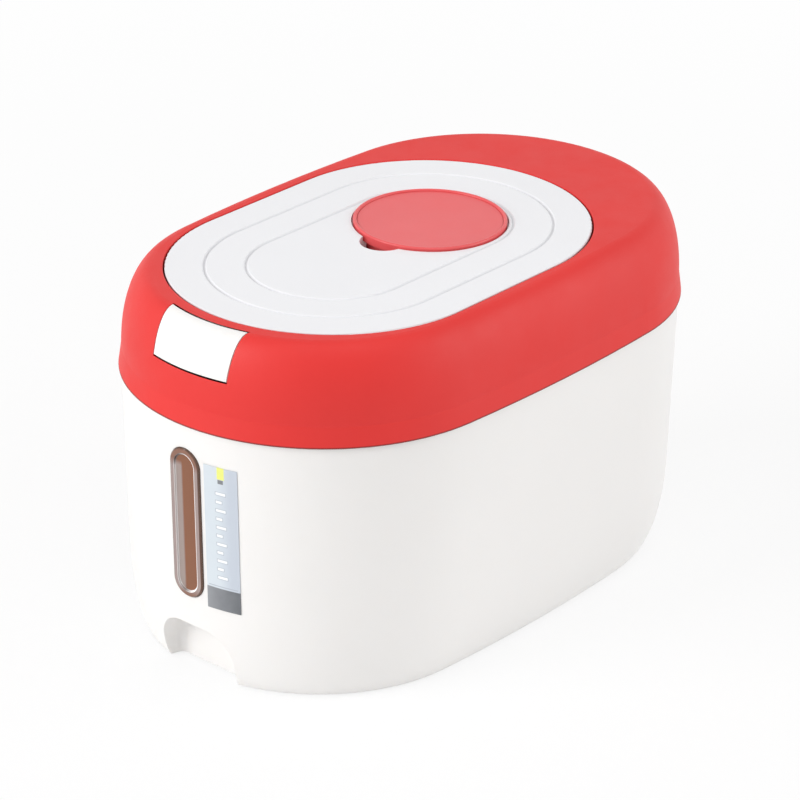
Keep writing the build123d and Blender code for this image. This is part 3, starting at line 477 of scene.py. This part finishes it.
def hingeSpring(s, side):
    # a straight leg runs in over the coil, then the wire goes round the pin at an even pitch, from the top
    legY = np.linspace(s["leg"], 0, s["legSteps"] + 1)[:-1]
    share = np.linspace(s["firstTurn"], s["turns"] - s["firstTurn"], s["turns"] * s["turnSteps"])
    turn = share * 2 * math.pi
    first = s["start"] + s["wire"]
    last = s["end"] - s["wire"]
    coilX = first + (last - first) * (turn - turn[0]) / (turn[-1] - turn[0])
    x = np.concatenate([np.full(len(legY), first), coilX]) * side
    y = np.concatenate([legY, s["coil"] * np.cos(turn)])
    z = np.concatenate([np.full(len(legY), s["coil"]), s["coil"] * np.sin(turn)])
    path = np.stack([x, y + s["axisY"], z + s["axisZ"]], axis=1)
    outwards = np.stack([np.zeros_like(x), y, z], axis=1)
    if side < 0:
        path, outwards = path[::-1], outwards[::-1]
    return wireTube("hingeSpring", path, outwards, s["wire"], wireSet)


springPair = joined("hingeSpringPair", [hingeSpring(hingeSpringSet, side) for side in (-1, 1)])
standIn("hinge_springs")
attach(springPair, "collar")

latchSpringSet = {
    "axisZ": 0.1536, "front": -0.13323, "back": -0.11293, "coil": 0.0026, "wire": 0.0004,
    "turns": 9, "turnSteps": 44, "closing": 0.11,
}


def latchSpring(s):
    # distance along the axis is a straight line less a small sine, so the turns lie close at both ends
    share = np.linspace(0, 1, s["turns"] * s["turnSteps"])
    front = s["front"] + s["wire"]
    back = s["back"] - s["wire"]
    y = front + (back - front) * (share - np.sin(2 * math.pi * share) * s["closing"])
    turn = share * s["turns"] * 2 * math.pi
    x = s["coil"] * np.cos(turn)
    z = s["coil"] * np.sin(turn)
    path = np.stack([x, y, z + s["axisZ"]], axis=1)
    outwards = np.stack([x, np.zeros_like(x), z], axis=1)
    return wireTube("latchCoil", path, outwards, s["wire"], wireSet)


def seatLatchSpring(piece):
    # hides the CAD spring and keeps the coil where it is wound, at its full length
    standIn("latch_spring")
    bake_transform(piece)


seatLatchSpring(latchSpring(latchSpringSet))
print("stage: springs wound")

screwSet = {
    "head": 0.0026, "headHigh": 0.0014, "rim": 0.0007, "headRings": 44, "skirtRings": 5, "headSides": 96,
    "recessLong": 0.0015, "recessWide": 0.00034, "recessDeep": 0.0009,
    "recessSoft": 0.00012, "recessEndSoft": 0.00036,
    "shank": 0.0013, "long": 0.0054, "pitch": 0.0009, "thread": 0.00022, "tip": 0.0012,
    "shankRings": 110, "shankSides": 28, "closing": (0.03, 0.02),
}


def polarGrid(rings, sides):
    turn = np.linspace(0, 2 * math.pi, sides, endpoint=False)
    return np.meshgrid(rings, turn, indexing="ij")


def screwHead(s, place):
    # height over the head is a low dome; a cross is sunk in it where either bar's soft edge covers the point
    radius = np.linspace(s["closing"][0], 1, s["headRings"]) * s["head"]
    r, a = polarGrid(np.concatenate([radius, [s["head"]] * s["skirtRings"]]), s["headSides"])
    x, y = r * np.cos(a), r * np.sin(a)
    dome = s["rim"] + (s["headHigh"] - s["rim"]) * np.sqrt(np.clip(1 - (r / s["head"]) ** 2, 0, 1))

    def bar(u, v):
        wide = np.clip((s["recessWide"] - np.abs(u)) / s["recessSoft"] + 0.5, 0, 1)
        return wide * np.clip((s["recessLong"] - np.abs(v)) / s["recessEndSoft"] + 0.5, 0, 1)

    down = dome - s["recessDeep"] * np.maximum(bar(x, y), bar(y, x))
    down[s["headRings"]:] = s["rim"] * (1 - np.linspace(0, 1, s["skirtRings"] + 1)[1:, None])
    return gridPiece("screwHead", np.stack([x, y, -down], axis=-1) + np.array(place), finish["steel"])


def screwShank(s, place):
    # radius over height and turn is a triangle wave of the height in pitches less the turn's share
    z, a = polarGrid(np.linspace(0, s["long"], s["shankRings"]), s["shankSides"])
    crest = 1 - np.abs(2 * ((z / s["pitch"] - a / (2 * math.pi)) % 1) - 1)
    point = np.clip((s["long"] - z) / s["tip"], s["closing"][1], 1)
    r = (s["shank"] - s["thread"] * (1 - crest)) * point
    points = np.stack([r * np.cos(a), r * np.sin(a), z], axis=-1) + np.array(place)
    return gridPiece("screwShank", points, finish["steel"])


# screws stand in pairs, left and right, heads down: sizes and seats in metres, angles in degrees
lidScrews = {
    "ring": 0.0675, "frontCentre": -0.0525, "frontTurn": 30, "straight": -0.0425, "rearCentre": 0.0159,
    "seat": 0.164, "bracketX": (0.012, 0.033), "bracketSeat": 0.1614,
}
coverScrews = {"rear": (0.0389, 0.101, 0.16315), "front": (0.0161, -0.12013, 0.14995)}


def lidPlaces(s):
    # one on the front arc, two at the straight sides' ends and two on the rear arc, all on the liner's ring
    turn = math.radians(s["frontTurn"])
    front = (s["ring"] * math.cos(turn), s["frontCentre"] - s["ring"] * math.sin(turn), s["seat"])
    sides = [(s["ring"], y, s["seat"]) for y in (s["straight"], s["rearCentre"])]
    rear = []
    for x in s["bracketX"]:
        rear.append((x, s["rearCentre"] + math.sqrt(s["ring"] ** 2 - x ** 2), s["bracketSeat"]))
    return [front] + sides + rear


def screwSetPiece(name, places):
    made = []
    for x, y, z in places:
        for side in (-1, 1):
            made += [make(screwSet, (side * x, y, z)) for make in (screwHead, screwShank)]
    return joined(name, made)


lidScrewSet = screwSetPiece("lidScrewSet", lidPlaces(lidScrews))
standIn("lid_screws")
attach(lidScrewSet, "lid")
coverScrewSet = screwSetPiece("coverScrewSet", coverScrews.values())
standIn("cover_screws")
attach(coverScrewSet, "collar")
print("stage: screws cut")

stageSet = {
    "floorColour": (0.92, 0.92, 0.92), "floorRough": 0.9, "floorGloss": 0.1, "floorSize": 30.0,
    "paleShare": 0.80, "shadowReach": 0.30, "paleReach": 1.0, "worldLight": 0.55,
}


def paleRays(tree):
    # one for the rays that see the backdrop rather than light the object
    path = tree.nodes.new("ShaderNodeLightPath")
    seen = maths(tree, "MAXIMUM", path.outputs["Is Camera Ray"], path.outputs["Is Glossy Ray"])
    return maths(tree, "MAXIMUM", seen, path.outputs["Is Transmission Ray"])


def whiteFloor(s):
    # matt paint, part replaced by plain white where the camera, a reflection or the clear lens looks at it:
    # the shadow stays near the object, and further out the floor passes into the white backdrop
    material, tree, shader = newMaterial("floorPaint")
    shader.inputs["Base Color"].default_value = (*s["floorColour"], 1)
    shader.inputs["Roughness"].default_value = s["floorRough"]
    shader.inputs["Specular IOR Level"].default_value = s["floorGloss"]
    pale = addNode(tree, "ShaderNodeEmission", Color=(1, 1, 1, 1), Strength=1.0)
    reach = addNode(tree, "ShaderNodeVectorMath", operation="LENGTH")
    tree.links.new(objectCoords(tree), reach.inputs[0])
    fade = slope(tree, reach.outputs["Value"], s["shadowReach"], s["paleReach"], s["paleShare"], 1.0)
    blend = tree.nodes.new("ShaderNodeMixShader")
    tree.links.new(times(tree, paleRays(tree), fade), blend.inputs[0])
    tree.links.new(shader.outputs[0], blend.inputs[1])
    tree.links.new(pale.outputs[0], blend.inputs[2])
    tree.links.new(blend.outputs[0], tree.nodes["Material Output"].inputs["Surface"])
    half = s["floorSize"] / 2
    corners = [(-half, -half, 0), (half, -half, 0), (half, half, 0), (-half, half, 0)]
    mesh = bpy.data.meshes.new("floorSheet")
    mesh.from_pydata(corners, [], [(0, 1, 2, 3)])
    mesh.materials.append(material)
    floor = bpy.data.objects.new("floorSheet", mesh)
    bpy.context.scene.collection.objects.link(floor)


whiteFloor(stageSet)

# soft boxes: place and size in metres, power in watts
lampSet = {
    "key": {"place": (-1.25, -2.6, 1.5), "size": 1.8, "power": 58},
    "side": {"place": (2.0, 1.4, 1.0), "size": 1.6, "power": 21},
    "top": {"place": (0.6, -0.4, 2.1), "size": 1.2, "power": 7},
}
lampAim = Vector((0, 0, 0.1))


def softBox(name, s):
    data = bpy.data.lights.new(name, "AREA")
    data.shape = "SQUARE"
    data.size = s["size"]
    data.energy = s["power"]
    lamp = bpy.data.objects.new(name, data)
    lamp.location = s["place"]
    lamp.rotation_mode = "QUATERNION"
    lamp.rotation_quaternion = (lampAim - Vector(s["place"])).to_track_quat("-Z", "Y")
    bpy.context.scene.collection.objects.link(lamp)


for name, s in lampSet.items():
    softBox(name + "Lamp", s)


def paleWorld(s):
    # white for the rays that see it, and dimmer for those that light the object
    world = bpy.data.worlds.new("paleRoom")
    world.use_nodes = True
    tree = world.node_tree
    back = tree.nodes["Background"]
    back.inputs["Color"].default_value = (1, 1, 1, 1)
    strength = slope(tree, paleRays(tree), 0.0, 1.0, s["worldLight"], 1.0)
    tree.links.new(strength, back.inputs["Strength"])
    bpy.context.scene.world = world


paleWorld(stageSet)
bpy.context.scene.view_settings.view_transform = "Standard"
print("stage: floor, lamps and camera set")
